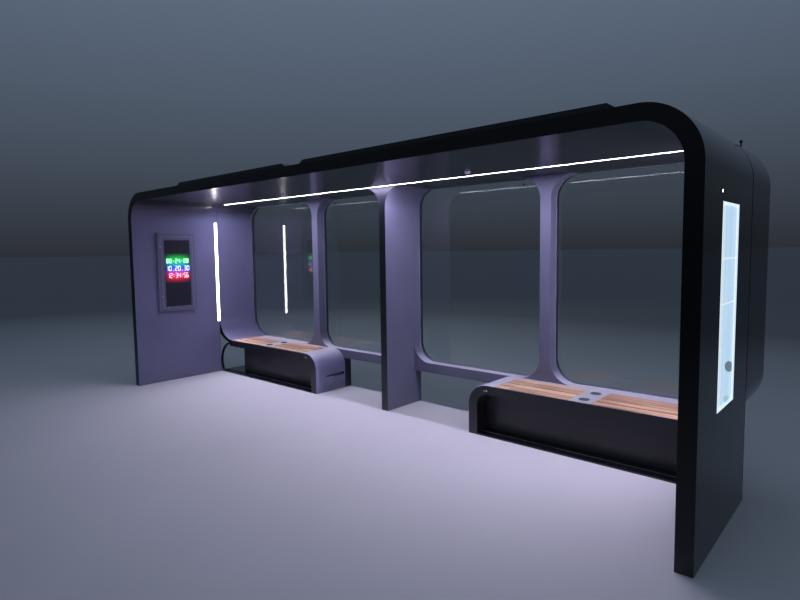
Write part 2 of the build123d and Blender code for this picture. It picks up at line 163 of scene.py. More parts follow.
def add(tree, kind, inputs=None, **settings):
    """Add a shader node; an input is either a value or another node's output to link."""
    made = tree.nodes.new("ShaderNode" + kind)
    for key, value in settings.items():
        setattr(made, key, value)
    for key, value in (inputs or {}).items():
        if isinstance(value, bpy.types.NodeSocket):
            tree.links.new(value, made.inputs[key])
        else:
            made.inputs[key].default_value = value
    return made


def calc(tree, operation, first, second=0.0, third=0.0):
    """Arithmetic on one, two or three numbers or outputs."""
    return add(tree, "Math", {0: first, 1: second, 2: third}, operation=operation).outputs[0]


def times(tree, first, second):
    """The product of two numbers or outputs."""
    return calc(tree, "MULTIPLY", first, second)


def apart(tree, first, second):
    """How far two numbers or outputs lie from each other."""
    return calc(tree, "ABSOLUTE", calc(tree, "SUBTRACT", first, second))


def blend(tree, share, first, second):
    """Mix two colours: the first where share is 0 and the second where it is 1."""
    made = add(tree, "Mix", {0: share, 6: first, 7: second}, data_type="RGBA")
    return made.outputs[2]


def scaled(tree, colour, factor):
    """A colour, or another node's colour, made brighter or darker by a factor."""
    colour = colour if isinstance(colour, bpy.types.NodeSocket) else colour[:3]
    return add(tree, "VectorMath", {0: colour, "Scale": factor}, operation="SCALE").outputs[0]


def spread(tree, value, low, high, new_low=0.0, new_high=1.0):
    """Stretch a number from one range to another and hold it at the ends."""
    inputs = {"Value": value, "From Min": low, "From Max": high, "To Min": new_low, "To Max": new_high}
    return add(tree, "MapRange", inputs).outputs["Result"]


def places(tree):
    """The point's coordinates, as one vector and as three numbers."""
    whole = add(tree, "TexCoord").outputs["Object"]
    return whole, add(tree, "SeparateXYZ", {0: whole}).outputs


def grain(tree, scale, detail, stretch=(1.0, 1.0, 1.0), where=None):
    """Cloudy noise between 0 and 1: finer with a larger scale, drawn out where stretch is small."""
    where = where or places(tree)[0]
    where = add(tree, "Mapping", {"Vector": where, "Scale": stretch}).outputs[0]
    return add(tree, "TexNoise", {"Vector": where, "Scale": scale, "Detail": detail}).outputs["Fac"]


def relief(tree, height, depth):
    """Turn a height between 0 and 1 into a bump that is depth metres deep."""
    return add(tree, "Bump", {"Height": height, "Distance": depth, "Strength": 1.0}).outputs[0]


def varied(tree, noise, low, high):
    """Stretch a noise, which lies mostly between 0.3 and 0.7, to the range from low to high."""
    return spread(tree, noise, 0.3, 0.7, low, high)


def rgba(red, green, blue):
    """A colour with the opacity that shader sockets ask for."""
    return (red, green, blue, 1.0)


def new_finish(name):
    """An empty finish: the material, its node tree and its main shader."""
    material = bpy.data.materials.new(name)
    material.use_nodes = True
    return material, material.node_tree, material.node_tree.nodes["Principled BSDF"]


def wire(tree, shader, **links):
    """Link outputs to the main shader's inputs, or set them where a value is given."""
    for key, value in links.items():
        socket = shader.inputs[key.replace("_", " ").title().replace("Ior", "IOR")]
        if isinstance(value, bpy.types.NodeSocket):
            tree.links.new(value, socket)
        else:
            socket.default_value = value


# %% [markdown]
# The shell is folded sheet with a powder coat. Its inner faces are a violet grey. The ceiling is
# darkened as painted shade, and the faces that look outward, the front edge and the back edge are
# made nearly black as painted shade; they are glossier too. Each face could be given a material of
# its own, but the shell's pieces carry several kinds of face each, so one network tells them apart
# by the normal: on a ring around the Y axis, a normal that points away from the ring's middle is an
# outer face. The coat has a fine orange peel, clouds of slightly uneven tone, a dark joint at the
# seam and dust near the ground.

# %% The powder coat of the shell
INNER_GREY = rgba(0.122, 0.125, 0.208)
# Painted shade: the ceiling tone and the near black of the outside.
CEILING_PAINTED_SHADE = rgba(0.018, 0.018, 0.020)
OUTER_PAINTED_SHADE = rgba(0.0045, 0.0045, 0.0048)
JOINT_BLACK = rgba(0.002, 0.002, 0.002)
DUST = rgba(0.16, 0.15, 0.135)
JOINT_HALF_WIDTH = 0.002
OUTER_JOINT_HALF_WIDTH = 0.010
SHELL_DUST_HEIGHT = 0.22
SHELL_DUST_SHARE = 0.3
INNER_GLOSS = 0.30
CEILING_GLOSS = 0.20
OUTER_GLOSS = 0.12
GLOSS_CLOUDS = 0.05
OUTWARD_FROM = (0.02, 0.06)
EDGE_FROM = (0.6, 0.7)
CLOUD_SCALE = 1.7
DUST_SCALE = 9.0
PEEL_SCALE = 160.0
PEEL_DEPTH = 0.00001


def facing(tree):
    """The three parts of the surface's own direction, which points out of the metal."""
    return add(tree, "SeparateXYZ", {0: add(tree, "NewGeometry").outputs["Normal"]}).outputs


def outward_share(tree, height):
    """1 on faces that look away from the ring's middle or to the front or back, 0 inside."""
    normal = facing(tree)
    _, (x, _, z) = places(tree)
    sideways = times(tree, normal[0], x)
    raised = calc(tree, "SUBTRACT", z, height / 2)
    outward = calc(tree, "MULTIPLY_ADD", normal[2], raised, sideways)
    edge = calc(tree, "ABSOLUTE", normal[1])
    outward, edge = spread(tree, outward, *OUTWARD_FROM), spread(tree, edge, *EDGE_FROM)
    return calc(tree, "MAXIMUM", outward, edge)


def coat_wear(tree, colour, dust_height, dust_share):
    """Uneven tone all over, and dust that thins out towards dust_height above the ground."""
    _, (_, _, z) = places(tree)
    colour = scaled(tree, colour, varied(tree, grain(tree, CLOUD_SCALE, 4.0), 0.93, 1.07))
    near_ground = spread(tree, z, 0.0, dust_height, 1.0, 0.0)
    dusty = times(tree, near_ground, grain(tree, DUST_SCALE, 5.0))
    return blend(tree, times(tree, dusty, dust_share), colour, DUST)


def peel_relief(tree):
    """The faint orange peel of a sprayed coat."""
    return relief(tree, grain(tree, PEEL_SCALE, 1.0), PEEL_DEPTH)


def shell_coat():
    """Powder coat of both rings: violet grey walls, with painted shade on the glossy ceiling and on
    the black outside.
    """
    material, tree, shader = new_finish("shell_coat")
    _, (_, y, _) = places(tree)
    outer = outward_share(tree, ROOF_Z)
    overhead = spread(tree, facing(tree)[2], -0.2, -0.95)
    # Painted shade: faces that look down take the dark ceiling tone.
    inner = blend(tree, overhead, INNER_GREY, CEILING_PAINTED_SHADE)
    # Painted shade: faces that look outward, to the front or to the back turn nearly black.
    colour = blend(tree, outer, inner, OUTER_PAINTED_SHADE)
    colour = coat_wear(tree, colour, SHELL_DUST_HEIGHT, SHELL_DUST_SHARE)
    half = spread(tree, outer, 0.0, 1.0, JOINT_HALF_WIDTH, OUTER_JOINT_HALF_WIDTH)
    joint = spread(tree, calc(tree, "DIVIDE", apart(tree, y, SEAM_Y), half), 1.0, 1.3, 1.0, 0.0)
    colour = blend(tree, joint, colour, JOINT_BLACK)
    gloss = spread(tree, overhead, 0.0, 1.0, INNER_GLOSS, CEILING_GLOSS)
    gloss = calc(tree, "MULTIPLY_ADD", outer, calc(tree, "SUBTRACT", OUTER_GLOSS, gloss), gloss)
    gloss = calc(tree, "MULTIPLY_ADD", grain(tree, 3.0, 3.0), GLOSS_CLOUDS, gloss)
    gloss = calc(tree, "MAXIMUM", gloss, joint)
    wire(tree, shader, base_color=colour, roughness=gloss, normal=peel_relief(tree), ior=1.4)
    return material


shell = shell_coat()
print("shell finish:", shell.name)

# %% [markdown]
# The posts, rails and benches have the same coat in tones of their own, with painted light and
# shade by the way each face looks: the fronts of the fin and the bench are darkened as painted
# shade, and the box under the seat is dark all over as painted shade; the faces that look up are
# pale as painted light from the strip above; the bench end towards the middle of the shelter is
# lightened as painted light, and the end beside the wall is darkened as painted shade. The display
# cabinet has fine lines where its door and its frame are folded, one of them a light line of
# painted highlight on a fold, and its faces that look to the front are lightened as painted light.
# The front edge of the bench tray carries a painted highlight in patches. The lines could be cut
# into the solids, but they are a few millimetres wide, so here they are drawn in the coat.

# %% The powder coat of posts, benches and cabinet
POST_GREY = rgba(0.110, 0.113, 0.168)
# Painted light on the bench end that faces the middle of the shelter.
PAINTED_LIGHT_END_GREY = rgba(0.195, 0.200, 0.320)
TRIM_GREY = rgba(0.095, 0.098, 0.155)
GROOVE_GREY = rgba(0.045, 0.045, 0.070)
PAINTED_HIGHLIGHT_GREY = rgba(0.165, 0.170, 0.250)
# Painted light on faces that look up, on the cabinet's front faces and on the tray's edge.
PAINTED_LIGHT_GREY = rgba(0.420, 0.425, 0.500)
# Painted shade on the fronts of the fin and the bench, and on the whole box under the seat.
PAINTED_SHADE_GREY = rgba(0.017, 0.017, 0.023)
# Near black for the black parts, and as painted shade on the bench end beside the wall.
NEAR_BLACK = rgba(0.010, 0.0105, 0.012)
DUST_HEIGHT = 0.16
DUST_SHARE = 0.25
SATIN = (0.30, 0.38)
BOX_SATIN = (0.32, 0.42)
BLACK_SATIN = (0.14, 0.24)
TRAY_SATIN = (0.12, 0.20)
LINE_HALF = 0.0035
CABINET_LINES = (
    ("display_housing", 0.033, GROOVE_GREY),
    # The light line is a painted highlight on the fold of the frame.
    ("display_housing", 0.042, PAINTED_HIGHLIGHT_GREY),
    ("display_screen", -0.006, GROOVE_GREY),
)
# Band below the tray's step edge that holds the painted highlight.
HIGHLIGHT_FROM, HIGHLIGHT_TO = 0.007, 0.004


def front_share(tree):
    """1 on faces that look to the open front, 0 on the others."""
    return spread(tree, facing(tree)[1], -0.75, -0.9)


def coat(tree, shader, tone, satin):
    """Give the shader a coat of this tone, with clouds, dust, peel and a satin of this range."""
    colour = coat_wear(tree, tone, DUST_HEIGHT, DUST_SHARE)
    gloss = varied(tree, grain(tree, 3.0, 3.0), *satin)
    wire(tree, shader, base_color=colour, roughness=gloss, normal=peel_relief(tree))


def plain_coat(name, tone, front_tone, satin, top_tone=None, side_tones=None):
    """Powder coat with other tones on some of the faces, used as painted light and shade.

    top_tone is for faces that look up, and side_tones are for those that look along X, towards
    the shelter's middle and away from it.
    """
    material, tree, shader = new_finish(name)
    _, (x, _, _) = places(tree)
    normal = facing(tree)
    tone = blend(tree, front_share(tree), tone, front_tone)
    if side_tones:
        sideways = times(tree, normal[0], calc(tree, "SIGN", x))
        tone = blend(tree, spread(tree, sideways, -0.3, -0.8), tone, side_tones[0])
        tone = blend(tree, spread(tree, sideways, 0.5, 0.8), tone, side_tones[1])
    if top_tone:
        tone = blend(tree, spread(tree, normal[2], 0.5, 0.95), tone, top_tone)
    coat(tree, shader, tone, satin)
    return material


def outline_share(tree, box, inset, half):
    """1 on a line round a box of the YZ plane, inset from its outline, and 0 beside the line.

    The distance outside a box is the larger of the distances past its half sizes.
    """
    _, (_, y, z) = places(tree)
    low, high = box
    past = []
    for value, start, end in ((y, low.y, high.y), (z, low.z, high.z)):
        from_middle = apart(tree, value, (start + end) / 2)
        past.append(calc(tree, "SUBTRACT", from_middle, (end - start) / 2))
    from_line = calc(tree, "ABSOLUTE", calc(tree, "ADD", calc(tree, "MAXIMUM", *past), inset))
    return spread(tree, from_line, half, 1.6 * half, 1.0, 0.0)


def display_coat():
    """Powder coat of the display cabinet, with painted light on faces that look to the front and fine
    lines round its door and its screen, one a painted highlight.
    """
    material, tree, shader = new_finish("display_coat")
    # Painted light: the faces that look to the front are lightened.
    tone = blend(tree, front_share(tree), TRIM_GREY, PAINTED_LIGHT_GREY)
    for node, inset, line_tone in CABINET_LINES:
        tone = blend(tree, outline_share(tree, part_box(node), inset, LINE_HALF), tone, line_tone)
    coat(tree, shader, tone, SATIN)
    return material


def tray_coat():
    """Black coat of the bench tray, with a painted highlight in patches along the upper edge of its
    front step.
    """
    material, tree, shader = new_finish("tray_coat")
    _, (_, _, z) = places(tree)
    step_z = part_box("right_bench_tray")[1].z
    near_edge = spread(tree, z, step_z - HIGHLIGHT_FROM, step_z - HIGHLIGHT_TO)
    # Painted highlight on the front faces near the step's upper edge, broken into patches.
    edge_highlight = times(tree, front_share(tree), near_edge)
    patches = spread(tree, grain(tree, 4.0, 3.0), 0.3, 0.6, 0.4, 1.0)
    edge_highlight = times(tree, edge_highlight, patches)
    coat(tree, shader, blend(tree, edge_highlight, NEAR_BLACK, PAINTED_LIGHT_GREY), TRAY_SATIN)
    return material


# Painted light and shade by facing: the pale tone on faces that look up and on the bench end towards
# the middle is painted light; the dark tone on the fronts of the fin and the bench, the near black on
# the bench end beside the wall, and the dark box under the seat are painted shade.
post_coat = plain_coat("post_coat", POST_GREY, POST_GREY, SATIN, PAINTED_LIGHT_GREY)
fin_coat = plain_coat("fin_coat", POST_GREY, PAINTED_SHADE_GREY, SATIN)
bench_coat = plain_coat("bench_coat", POST_GREY, PAINTED_SHADE_GREY, SATIN, PAINTED_LIGHT_GREY, (PAINTED_LIGHT_END_GREY, NEAR_BLACK))
box_coat = plain_coat("box_coat", PAINTED_SHADE_GREY, PAINTED_SHADE_GREY, BOX_SATIN)
black_coat = plain_coat("black_coat", NEAR_BLACK, NEAR_BLACK, BLACK_SATIN)
cabinet_coat, lip_coat = display_coat(), tray_coat()
coats = (post_coat, fin_coat, bench_coat, box_coat, black_coat, cabinet_coat, lip_coat)
print("powder coats:", *(finish.name for finish in coats))

# %% [markdown]
# The light strips are frosted covers over rows of lamps. The lamps make a bright line along the
# middle of the cover, with a faint ripple, and the glow falls off towards its two edges. Single
# lamps could be modelled behind a clear cover, but frost melts them into one line, so the line
# is drawn in the cover's own glow. On the walls a wider lens lies over the cover, and the line
# is dimmer than overhead. All three strips lie at the same depth, so the distance from their
# middle is a distance along Y.

# %% Light strips
COVER_GREY = rgba(0.8, 0.8, 0.85)
STRIP_WHITE = rgba(1.0, 0.97, 1.0)
STRIP_VIOLET = rgba(0.62, 0.58, 1.0)
STRIP_POWER = 12.0
CEILING_GAIN = 4.0
LAMP_PITCH = 0.0167
RIPPLE = 0.04
FULL_GLOW = 1.1
EDGE_SHARE = 0.05
LINE_HALF_WIDTH = 0.003
LINE_EDGE = 0.006
WALL_LINE_HALF_WIDTH = 0.015
LENS_HALF_WIDTH = 0.022
WALL_STRIPS_BELOW = CEILING_Z - 0.05


def light_up(tree, shader, tone, gloss, glow, power):
    """Give the shader a tone and a gloss, and let it glow with a colour and a power."""
    wire(tree, shader, base_color=tone, roughness=gloss)
    wire(tree, shader, emission_color=glow, emission_strength=power)


def strip_cover():
    """Frosted cover of a light strip: glowing, with a faint ripple from the lamps behind."""
    material, tree, shader = new_finish("strip_cover")
    _, (x, y, z) = places(tree)
    along = calc(tree, "ADD", x, z)
    ripple = calc(tree, "SINE", times(tree, along, 2 * np.pi / LAMP_PITCH))
    low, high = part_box("ceiling_light")
    aside = apart(tree, y, (low.y + high.y) / 2)
    on_wall = spread(tree, z, WALL_STRIPS_BELOW, WALL_STRIPS_BELOW - 0.05)
    half = spread(tree, on_wall, 0.0, 1.0, LINE_HALF_WIDTH, WALL_LINE_HALF_WIDTH)
    edge = spread(tree, on_wall, 0.0, 1.0, LINE_EDGE, LENS_HALF_WIDTH)
    falloff = spread(tree, aside, half, edge, 0.0, 1.0)
    share = calc(tree, "MULTIPLY_ADD", ripple, RIPPLE, calc(tree, "ADD", falloff, EDGE_SHARE))
    gain = spread(tree, calc(tree, "MAXIMUM", on_wall, falloff), 0.0, 1.0, CEILING_GAIN, 1.0)
    power = times(tree, calc(tree, "SUBTRACT", FULL_GLOW, share), gain)
    glow = scaled(tree, blend(tree, share, STRIP_WHITE, STRIP_VIOLET), power)
    light_up(tree, shader, COVER_GREY, 0.5, glow, STRIP_POWER)
    return material


strip_finish = strip_cover()
print("light strips:", strip_finish.name, "at", STRIP_POWER)

# %% [markdown]
# The light box in the right wall has a frosted sheet, lit from its white edge and crossed by
# folds at even steps, with two plain grey ovals low down. Each mark is the place of a point
# turned into a share: near a fold's height, near an upright line, or inside an oval. A picture
# could hold the marks, but shares that are worked out from places stay sharp from close by.

# %% Light box
PANEL_BLUE = rgba(0.50, 0.73, 0.95)
PANEL_WHITE = rgba(0.80, 0.93, 0.98)
PANEL_POWER = 0.8
SHEET_GREY = rgba(0.7, 0.75, 0.8)
FOLD_WHITE = rgba(0.93, 1.0, 1.0)
FOLD_GREY = rgba(0.36, 0.52, 0.66)
RIM_BLUE = rgba(0.42, 0.58, 0.80)
RIM_GREY = rgba(0.5, 0.52, 0.55)
RIM_POWER = 0.9
FOLD_INSET = 0.105
WHITE_FADE = 0.02
UPRIGHT_LINE = (0.004, 0.010)
FOLD_Y = -0.142
FOLD_TOP = 1.666
FOLD_PITCH = 0.262
FOLD_HALF = 0.003
LONG_FOLDS_FROM, SHORT_FOLDS_TO = 1.30, 1.20
LONG_FOLD, SHORT_FOLD = 0.40, 0.07
OVAL_GREY = rgba(0.10, 0.15, 0.16)
OVAL_TILT = 0.18
PANEL_OVALS = (
    ((-0.225, 1.012), (0.108, 0.033), 1.0),
    ((-0.270, 0.820), (0.080, 0.022), 0.35),
)


def oval(tree, y, z, middle, half_sizes):
    """1 inside an oval about middle, given by its half sizes along Y and Z, and 0 outside.

    The oval leans: its height is measured from a line that falls by OVAL_TILT for each metre of Y.
    """
    along = calc(tree, "SUBTRACT", y, middle[0])
    raised = calc(tree, "MULTIPLY_ADD", along, OVAL_TILT, calc(tree, "SUBTRACT", z, middle[1]))
    along = calc(tree, "DIVIDE", along, half_sizes[0])
    raised = calc(tree, "DIVIDE", raised, half_sizes[1])
    square = calc(tree, "MULTIPLY_ADD", along, along, times(tree, raised, raised))
    return spread(tree, square, 0.9, 1.1, 1.0, 0.0)


def fold_lines(tree, from_front, z):
    """1 on the level folds: two run right across, and those below reach in only a little."""
    row = calc(tree, "WRAP", calc(tree, "SUBTRACT", z, FOLD_TOP), FOLD_PITCH / 2, -FOLD_PITCH / 2)
    fold = spread(tree, calc(tree, "ABSOLUTE", row), FOLD_HALF, 2 * FOLD_HALF, 1.0, 0.0)
    reach = spread(tree, z, SHORT_FOLDS_TO, LONG_FOLDS_FROM, SHORT_FOLD, LONG_FOLD)
    short = calc(tree, "LESS_THAN", from_front, reach)
    under_top = calc(tree, "LESS_THAN", z, FOLD_TOP + 0.01)
    return times(tree, fold, times(tree, short, under_top))


def panel_cover():
    """Frosted front of the light box, with its fold lines and two plain grey ovals."""
    material, tree, shader = new_finish("panel_cover")
    low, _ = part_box("poster_panel")
    _, (_, y, z) = places(tree)
    from_front = calc(tree, "SUBTRACT", y, low.y)
    clouds = spread(tree, grain(tree, 3.0, 2.0, (1.0, 3.0, 0.4)), 0.35, 0.65, 0.0, 0.4)
    edge = spread(tree, from_front, FOLD_INSET - WHITE_FADE, FOLD_INSET, 0.6, 0.0)
    glow = blend(tree, calc(tree, "MAXIMUM", clouds, edge), PANEL_BLUE, PANEL_WHITE)
    for middle, half_sizes, share in PANEL_OVALS:
        shade = times(tree, oval(tree, y, z, middle, half_sizes), share)
        glow = blend(tree, shade, glow, OVAL_GREY)
    upright = apart(tree, from_front, FOLD_INSET)
    glow = blend(tree, spread(tree, upright, *UPRIGHT_LINE, 0.5, 0.0), glow, FOLD_GREY)
    rear_edge = spread(tree, y, FOLD_Y - FOLD_HALF, FOLD_Y)
    folds = calc(tree, "MAXIMUM", fold_lines(tree, from_front, z), rear_edge)
    glow = blend(tree, times(tree, folds, 0.9), glow, FOLD_WHITE)
    light_up(tree, shader, SHEET_GREY, 0.35, glow, PANEL_POWER)
    return material


def rim_cover():
    """Edge of the light box: white where it looks out of the wall, blue on its inner sides."""
    material, tree, shader = new_finish("rim_cover")
    glow = blend(tree, grain(tree, 6.0, 2.0), PANEL_WHITE, FOLD_WHITE)
    glow = blend(tree, spread(tree, facing(tree)[0], 0.5, 0.9), RIM_BLUE, glow)
    light_up(tree, shader, RIM_GREY, 0.4, glow, RIM_POWER)
    return material


panel_finish, rim_finish = panel_cover(), rim_cover()
print("light box:", panel_finish.name, rim_finish.name)

# %% [markdown]
# Window glass is clear, faintly green through its edge, and mirrors the light strips. A trace of
# smears in its roughness keeps it from looking like an empty hole. The display has a darker
# glass, and the three rows of lamps behind it spill coloured light into it: green at the top,
# then blue, then red. Each spill is a soft band around the height of its row.

# %% Glass
ROW_HEIGHTS = {"green": 1.632, "blue": 1.531, "red": 1.434}
ROW_COLOURS = {
    "green": rgba(0.01, 0.62, 0.08),
    "blue": rgba(0.02, 0.06, 0.95),
    "red": rgba(0.85, 0.01, 0.08),
}
SPILL_POWER = 0.9
SPILL_HALF_WIDTH = 0.12
SPILL_ACROSS = 0.75
GLASS_TINT = rgba(0.93, 0.97, 0.955)
DISPLAY_BLACK = rgba(0.022, 0.022, 0.03)
BLACK = rgba(0.0, 0.0, 0.0)
GLASS_IOR = 1.5
SCREEN_LOW, SCREEN_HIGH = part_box("display_screen")
SCREEN_Y = (SCREEN_LOW.y + SCREEN_HIGH.y) / 2


def window_glass():
    """Clear glass with a faint green tint and smears in its polish."""
    material, tree, shader = new_finish("window_glass")
    smears = spread(tree, grain(tree, 3.0, 6.0), 0.45, 0.75, 0.0, 0.04)
    wire(tree, shader, base_color=GLASS_TINT, roughness=smears)
    wire(tree, shader, transmission_weight=1.0, ior=GLASS_IOR)
    return material


def band(tree, value, middle, half):
    """A soft hump: 1 at the middle, falling to 0 at half away from it on either side."""
    away = apart(tree, value, middle)
    inputs = {"Value": away, "From Min": 0.0, "From Max": half, "To Min": 1.0, "To Max": 0.0}
    return add(tree, "MapRange", inputs, interpolation_type="SMOOTHERSTEP").outputs["Result"]


def display_glass():
    """Dark glass over the lamp rows, with each row's colour spilling up and down from it."""
    material, tree, shader = new_finish("display_glass")
    _, (_, y, z) = places(tree)
    across = band(tree, y, SCREEN_Y, SPILL_ACROSS * (SCREEN_HIGH.y - SCREEN_LOW.y))
    glow = BLACK[:3]
    for row, height in ROW_HEIGHTS.items():
        share = times(tree, band(tree, z, height, SPILL_HALF_WIDTH), across)
        tinted = blend(tree, share, BLACK, ROW_COLOURS[row])
        glow = add(tree, "VectorMath", {0: glow, 1: tinted}, operation="ADD").outputs[0]
    smears = spread(tree, grain(tree, 9.0, 5.0), 0.3, 0.8, 0.05, 0.2)
    wire(tree, shader, ior=GLASS_IOR)
    light_up(tree, shader, DISPLAY_BLACK, smears, glow, SPILL_POWER)
    return material


glass_finish, screen_finish = window_glass(), display_glass()
print("glass:", glass_finish.name, screen_finish.name)

# %% [markdown]
# The boards are oiled hardwood. Grain runs along X, so the noise is drawn out along that axis.
# Every board comes from another plank: its number, counted across the seat and along the bench,
# picks a tone and a stretch of grain of its own. The fine fibres go into the bump as well, and
# painted shade darkens the edges of each board along the gaps.

# %% Timber
BOARD_COUNT = 4
BOARD_GAP = 0.007
TIMBER_DARK = rgba(0.22, 0.103, 0.058)
TIMBER_LIGHT = rgba(0.68, 0.46, 0.295)
# Painted shade along the gaps between the boards.
TIMBER_GAP_SHADE = rgba(0.050, 0.028, 0.022)
GAP_SHADE_WIDTH = 0.007
GAP_SHADE_SHARE = 0.65
GROUPS_A_METRE = 1.3
PLANK_SHIFT = 9.0
PLANK_TONES = 0.22
FIBRE_SHARE = 0.4
RING_STRETCH = (0.40, 9.0, 9.0)
FIBRE_STRETCH = (0.06, 3.0, 3.0)
TIMBER_CONTRAST = (0.36, 0.63)
FIBRE_DEPTH = 0.0004


def timber():
    """Oiled boards with grain along X, another tone for each board and painted shade at the gaps."""
    material, tree, shader = new_finish("timber")
    where, (x, y, _) = places(tree)
    low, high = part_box("right_bench_slats")
    pitch = (high.y - low.y + BOARD_GAP) / BOARD_COUNT
    steps = calc(tree, "DIVIDE", calc(tree, "SUBTRACT", y, low.y - BOARD_GAP / 2), pitch)
    row = calc(tree, "FLOOR", steps)
    from_gap = times(tree, calc(tree, "PINGPONG", steps, 0.5), pitch)
    group = calc(tree, "FLOOR", times(tree, x, GROUPS_A_METRE))
    number = calc(tree, "MULTIPLY_ADD", group, 7.0, row)
    chance = add(tree, "TexWhiteNoise", {"W": number}, noise_dimensions="1D").outputs["Value"]
    shift = {0: times(tree, chance, PLANK_SHIFT), 1: chance, 2: chance}
    moved = add(tree, "CombineXYZ", shift).outputs[0]
    plank = add(tree, "VectorMath", {0: where, 1: moved}, operation="ADD").outputs[0]
    rings = grain(tree, 5.0, 4.0, RING_STRETCH, plank)
    fibres = grain(tree, 60.0, 3.0, FIBRE_STRETCH, plank)
    rings = times(tree, rings, 1 - FIBRE_SHARE)
    share = calc(tree, "MULTIPLY_ADD", fibres, FIBRE_SHARE, rings)
    share = calc(tree, "MULTIPLY_ADD", calc(tree, "SUBTRACT", chance, 0.5), PLANK_TONES, share)
    colour = blend(tree, spread(tree, share, *TIMBER_CONTRAST), TIMBER_DARK, TIMBER_LIGHT)
    # Painted shade: each board darkens towards the gaps beside it.
    gap_shade = spread(tree, from_gap, BOARD_GAP / 2, BOARD_GAP / 2 + GAP_SHADE_WIDTH, GAP_SHADE_SHARE, 0.0)
    colour = blend(tree, gap_shade, colour, TIMBER_GAP_SHADE)
    gloss = varied(tree, fibres, 0.30, 0.48)
    wire(tree, shader, base_color=colour, roughness=gloss, normal=relief(tree, fibres, FIBRE_DEPTH))
    return material


timber_finish = timber()
print("timber:", timber_finish.name)

# %% [markdown]
# A few small finishes are left: brushed metal for the charging plates, gloss plastic for the
# charging pads and the domes, black rubber for the glass discs and the aerial, a pale grey on the
# window beads as a painted highlight along the glass edge, and bright steel for the screws. All but
# the metal are one recipe, a tone with small clouds, so they are rows of numbers for one helper.

# %% Small finishes
METAL_DARK = rgba(0.46, 0.47, 0.50)
METAL_PALE = rgba(0.62, 0.63, 0.67)
BRUSH_STRETCH = (6.0, 0.08, 1.0)
BRUSH_DEPTH = 0.00005


def brushed_metal():
    """Pale metal brushed across the seat, along Y."""
    material, tree, shader = new_finish("brushed_metal")
    lines = grain(tree, 90.0, 3.0, BRUSH_STRETCH)
    tone = blend(tree, lines, METAL_DARK, METAL_PALE)
    wire(tree, shader, base_color=tone, metallic=0.45, roughness=varied(tree, lines, 0.30, 0.42))
    wire(tree, shader, normal=relief(tree, lines, BRUSH_DEPTH))
    return material


def mottled(name, tone, low_gloss, high_gloss, scale, metallic=0.0):
    """A plain tone with small clouds in its colour and in its gloss."""
    material, tree, shader = new_finish(name)
    clouds = grain(tree, scale, 4.0)
    colour = scaled(tree, tone, varied(tree, clouds, 0.8, 1.2))
    gloss = varied(tree, clouds, low_gloss, high_gloss)
    wire(tree, shader, base_color=colour, roughness=gloss, metallic=metallic)
    return material


plate_finish = brushed_metal()
pad_finish = mottled("pad_gloss", rgba(0.07, 0.075, 0.10), 0.08, 0.2, 40.0)
dome_finish = mottled("dome_gloss", rgba(0.55, 0.55, 0.60), 0.06, 0.16, 60.0)
rubber = mottled("rubber", rgba(0.012, 0.012, 0.013), 0.5, 0.7, 80.0)
# Pale grey beads: a painted highlight along the edge of the glass.
bead_highlight = mottled("bead_highlight", rgba(0.30, 0.31, 0.36), 0.4, 0.6, 80.0)
steel = mottled("bright_steel", rgba(0.80, 0.80, 0.82), 0.16, 0.25, 120.0, 0.5)
small_finishes = (plate_finish, pad_finish, dome_finish, rubber, bead_highlight, steel)
print("small finishes:", *(finish.name for finish in small_finishes))

# %% [markdown]
# Each solid piece takes its finish by its name. A rule is an ending of the name, or two, and a
# finish. The first rule that fits wins, so the left and the right piece of a pair look alike.

# %% Dress the solid pieces
FINISH_RULES = (
    ("bench_box", box_coat),
    ("bench_tray", lip_coat),
    (("bench_return", "roof_tray"), black_coat),
    (("seat_deck", "bench_end"), bench_coat),
    (("mullion", "sill_rail"), post_coat),
    ("centre_fin", fin_coat),
    ("charge_plate", plate_finish),
    ("charge_pads", pad_finish),
    ("bench_slats", timber_finish),
    ("_glass", glass_finish),
    ("_light", strip_finish),
    (("display_housing", "display_door"), cabinet_coat),
    ("display_screen", screen_finish),
    ("poster_frame", rim_finish),
    ("poster_panel", panel_finish),
    ("ceiling_sensors", dome_finish),
    ("roof_antenna", rubber),
    ("", shell),
)

for name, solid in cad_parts.items():
    finish = next(finish for ending, finish in FINISH_RULES if name.endswith(ending))
    for place in solid.material_slots:
        place.material = finish
print(len(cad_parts), "solid pieces dressed")

# %% [markdown]
# The boards of a real bench have eased edges, which catch the light as thin bright lines. A
# bevel modifier could ease square boards, but a board is only one outline carried along X, so it
# is worked out here: a rounded rectangle that shrinks in a quarter circle near its ends. The
# boards replace the square ones of the solid model.

# %% Boards of the seats
EASE = 0.004
EASE_STEPS = 4
JOINT_GAP = 0.002


def rounded_outline(width, height, radius, steps):
    """Rounded rectangle about the origin: four quarter circles joined by straight edges."""
    turn = np.linspace(0.0, np.pi / 2, steps + 1)
    angle = (np.arange(4)[:, None] * np.pi / 2 + turn[None, :]).ravel()
    corner_x = np.repeat([1, -1, -1, 1], steps + 1) * (width / 2 - radius)
    corner_y = np.repeat([1, 1, -1, -1], steps + 1) * (height / 2 - radius)
    return np.stack((corner_x + radius * np.cos(angle), corner_y + radius * np.sin(angle)), -1)


